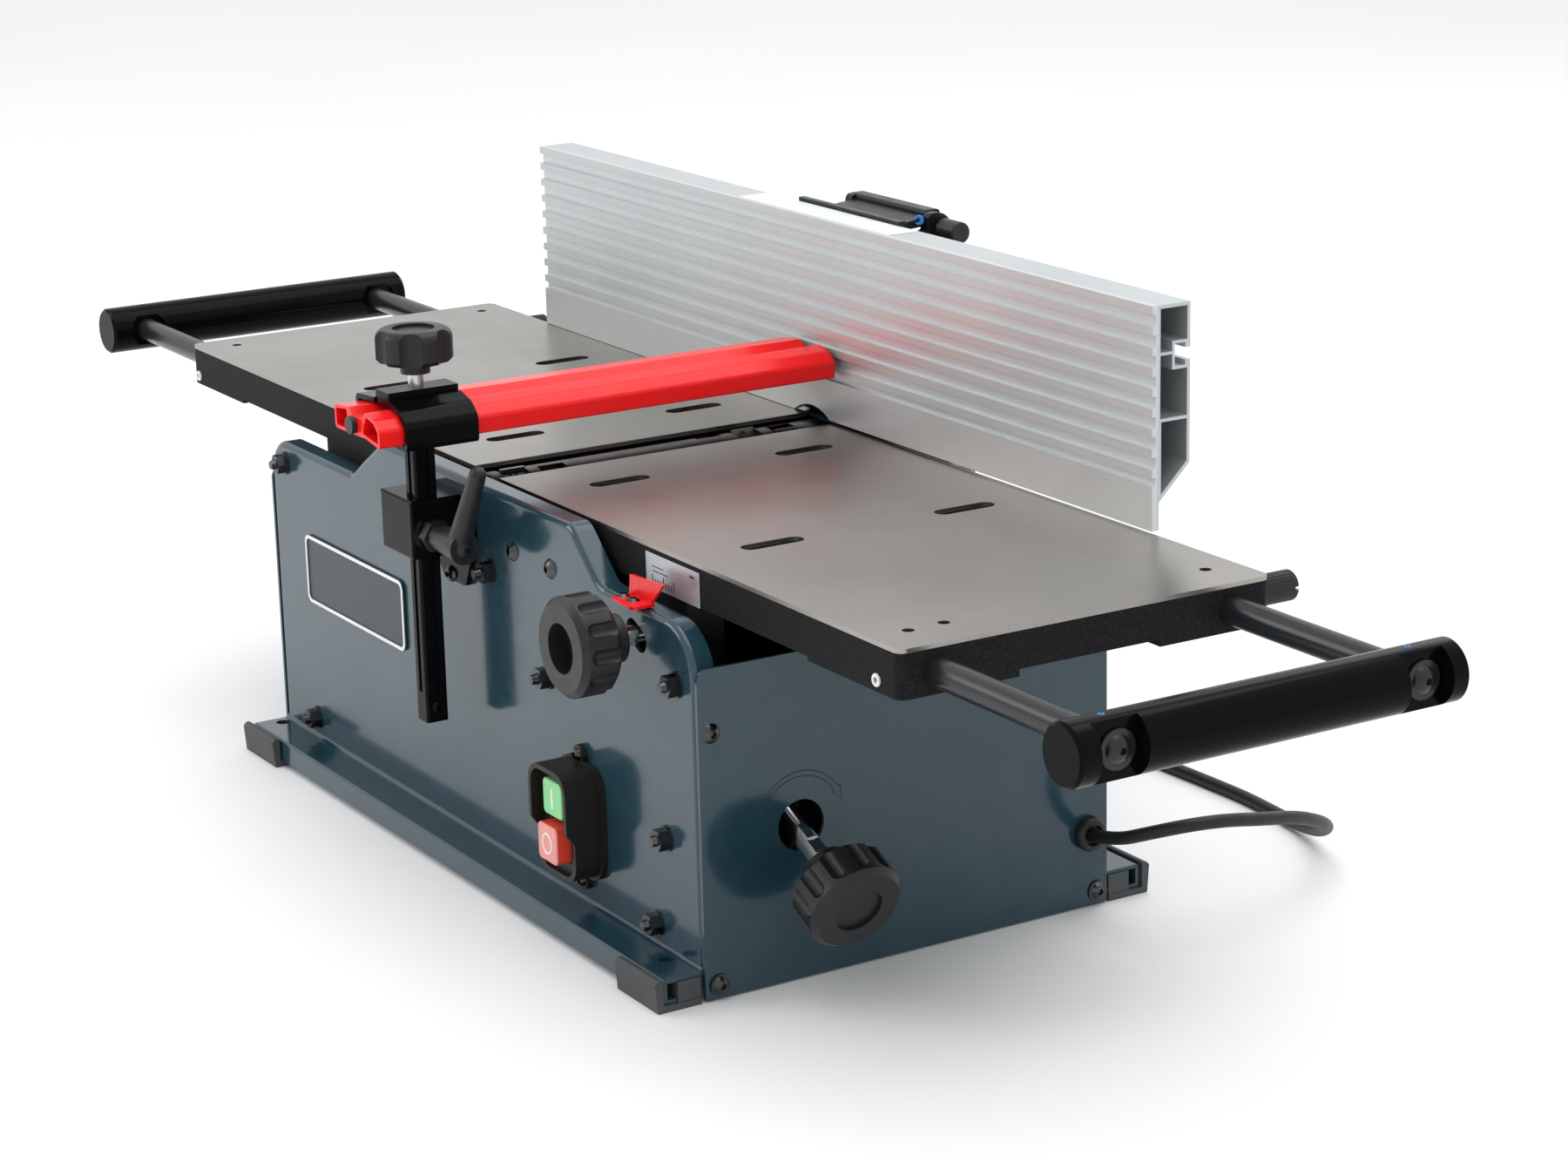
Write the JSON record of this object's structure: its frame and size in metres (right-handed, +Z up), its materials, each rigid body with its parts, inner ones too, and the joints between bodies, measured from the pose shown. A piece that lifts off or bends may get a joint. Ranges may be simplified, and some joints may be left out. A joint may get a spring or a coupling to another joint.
{
  "type": "benchtop jointer",
  "caption": "Benchtop jointer with sheet-metal base, two tables, insert cutterhead, sliding and tilting fence, guard on a post, and pull-out work supports.",
  "frame": {"origin": "on the floor under the middle of the bounding box (without the cord)", "axes": "+X towards the infeed end, along the tables; +Y towards the fence at the back; +Z up"},
  "size_m": [1.0848, 0.4546, 0.3274],
  "materials": {
    "housing": "glossy fine-textured powder coat",
    "foot_plastic": "matte moulded",
    "casting": "black crinkle coat",
    "table_iron": "ground top, black crinkle-coated sides",
    "knob_plastic": "satin moulded",
    "bar_paint": "high gloss black",
    "black_oxide": "black oxide",
    "bearing_steel": "ground",
    "head_steel": "turned",
    "carbide": "ground carbide",
    "belt_rubber": "matte",
    "sheet_black": "satin black",
    "motor_alloy": "cast",
    "chute_plastic": "matte",
    "nut_brass": "turned",
    "screw_chrome": "polished",
    "zinc": "zinc plated",
    "guard_red": "gloss red",
    "clamp_black": "satin black",
    "fence_alloy": "natural anodised",
    "bracket_black": "satin black cast",
    "fastener": "dark zinc",
    "switch_plastic": "matte moulded",
    "button_green": "satin",
    "button_red": "satin",
    "badge_metal": "dark plate with a bright rim",
    "cord_rubber": "matte",
    "plug_plastic": "satin"
  },
  "bodies": {
    "base": {"front_panel": "housing", "rear_panel": "housing", "infeed_end_panel": "housing", "outfeed_end_panel": "housing", "corner_feet": "foot_plastic", "main_casting": "casting", "outfeed_table": "table_iron", "head_bearings": "bearing_steel", "drive_belt": "belt_rubber", "belt_cover": "sheet_black", "motor_housing": "motor_alloy", "chip_chute": "chute_plastic", "guard_block": "clamp_black", "fence_base": "sheet_black", "switch_body": "switch_plastic", "badge": "badge_metal", "pointer_bracket": "guard_red", "panel_fasteners": "fastener", "cord_gland": "cord_rubber", "power_cord": "cord_rubber", "cord_coil": "cord_rubber", "power_plug": "plug_plastic"},
    "infeed": {"infeed_table": "table_iron", "infeed_carriage": "casting", "feed_nut": "nut_brass"},
    "height_screw": {"feed_screw": "screw_chrome", "height_knob": "knob_plastic"},
    "lock_knob": {"lock_stud": "zinc", "lock_knob": "knob_plastic"},
    "infeed_thumbscrew": {"infeed_thumbscrew": "knob_plastic"},
    "outfeed_thumbscrew": {"outfeed_thumbscrew": "knob_plastic"},
    "infeed_support": {"infeed_bar": "bar_paint", "infeed_rods": "black_oxide", "infeed_bar_screws": "black_oxide"},
    "outfeed_support": {"outfeed_bar": "bar_paint", "outfeed_rods": "black_oxide", "outfeed_bar_screws": "black_oxide"},
    "cutterhead": {"cutterhead": "head_steel", "cutter_inserts": "carbide", "head_pulley": "head_steel"},
    "rotor": {"motor_rotor": "head_steel", "motor_pulley": "head_steel"},
    "guard_post": {"guard_post": "clamp_black", "guard_sleeve": "clamp_black", "guard_clamp_bar": "clamp_black"},
    "guard_arm": {"guard_arm": "guard_red", "guard_plug": "knob_plastic"},
    "guard_knob": {"guard_knob": "knob_plastic", "guard_knob_stud": "zinc"},
    "guard_lever": {"guard_lever": "knob_plastic"},
    "fence_slide": {"fence_carriage": "bracket_black"},
    "fence": {"fence": "fence_alloy", "fence_bracket": "bracket_black", "fence_bolts": "fastener"},
    "tilt_knob": {"tilt_knob": "knob_plastic"},
    "slide_lever": {"slide_lever": "knob_plastic"},
    "index_plunger": {"index_plunger": "knob_plastic"},
    "green_button": {"green_button": "button_green"},
    "red_button": {"red_button": "button_red"}
  },
  "joints": [
    {"name": "infeed_slide", "type": "slide", "parent": "base", "child": "infeed", "axis": [-0.9063, 0, 0.4226], "range_m": [-0.00473, 0.00284]},
    {"name": "height_turn", "type": "hinge", "parent": "base", "child": "height_screw", "pos_m": [0.25175, -0.0993, 0.0755], "axis": [0.9063, 0, -0.4226], "range_deg": [-853, 513]},
    {"name": "lock_turn", "type": "hinge", "parent": "infeed", "child": "lock_knob", "pos_m": [0.19385, -0.1687, 0.1718], "axis": [0, -1, 0], "range_deg": [-120, 0]},
    {"name": "infeed_thumb_turn", "type": "hinge", "parent": "infeed", "child": "infeed_thumbscrew", "pos_m": [0.38355, 0.0803, 0.1989], "axis": [0, 1, 0], "range_deg": [0, 360]},
    {"name": "outfeed_thumb_turn", "type": "hinge", "parent": "base", "child": "outfeed_thumbscrew", "pos_m": [-0.36845, 0.0803, 0.1989], "axis": [0, 1, 0], "range_deg": [0, 360]},
    {"name": "infeed_support_slide", "type": "slide", "parent": "infeed", "child": "infeed_support", "axis": [1, 0, 0], "range_m": [-0.105, 0]},
    {"name": "outfeed_support_slide", "type": "slide", "parent": "base", "child": "outfeed_support", "axis": [-1, 0, 0], "range_m": [-0.112, 0]},
    {"name": "cutterhead_spin", "type": "hinge", "parent": "base", "child": "cutterhead", "pos_m": [0.00755, -0.0357, 0.1892], "axis": [0, 1, 0], "continuous": true},
    {"name": "rotor_spin", "type": "hinge", "parent": "base", "child": "rotor", "pos_m": [-0.12245, -0.0357, 0.082], "axis": [0, 1, 0], "continuous": true},
    {"name": "guard_height", "type": "slide", "parent": "base", "child": "guard_post", "axis": [0, 0, 1], "range_m": [-0.023, 0.06]},
    {"name": "guard_arm_slide", "type": "slide", "parent": "guard_post", "child": "guard_arm", "axis": [0, -1, 0], "range_m": [0, 0.075]},
    {"name": "guard_knob_turn", "type": "hinge", "parent": "guard_post", "child": "guard_knob", "pos_m": [0.00455, -0.1755, 0.28], "axis": [0, 0, 1], "range_deg": [0, 360]},
    {"name": "guard_lever_turn", "type": "hinge", "parent": "base", "child": "guard_lever", "pos_m": [0.02755, -0.1755, 0.1865], "axis": [1, 0, 0], "range_deg": [0, 90]},
    {"name": "fence_slide", "type": "slide", "parent": "base", "child": "fence_slide", "axis": [0, -1, 0], "range_m": [0, 0.075]},
    {"name": "fence_tilt", "type": "hinge", "parent": "fence_slide", "child": "fence", "pos_m": [0.00755, 0.0773, 0.222], "axis": [1, 0, 0], "range_deg": [-45, 0]},
    {"name": "tilt_knob_turn", "type": "hinge", "parent": "fence_slide", "child": "tilt_knob", "pos_m": [-0.04245, 0.0773, 0.222], "axis": [1, 0, 0], "range_deg": [0, 360]},
    {"name": "slide_lever_turn", "type": "hinge", "parent": "base", "child": "slide_lever", "pos_m": [0.00755, 0.1213, 0.226], "axis": [0, 0, 1], "range_deg": [-55, 20]},
    {"name": "index_pull", "type": "slide", "parent": "fence", "child": "index_plunger", "axis": [1, 0, 0], "range_m": [0, 0.006], "stiffness_N_per_m": 600},
    {"name": "green_press", "type": "slide", "parent": "base", "child": "green_button", "axis": [0, 1, 0], "range_m": [0, 0.003], "stiffness_N_per_m": 500},
    {"name": "red_press", "type": "slide", "parent": "base", "child": "red_button", "axis": [0, 1, 0], "range_m": [0, 0.003], "stiffness_N_per_m": 500}
  ],
  "couplings": [
    {"joint": "height_turn", "follows": "infeed_slide", "rad_per_m": 3141.6},
    {"joint": "rotor_spin", "follows": "cutterhead_spin", "ratio": 0.5},
    {"joint": "guard_arm_slide", "follows": "fence_slide", "ratio": 1}
  ]
}
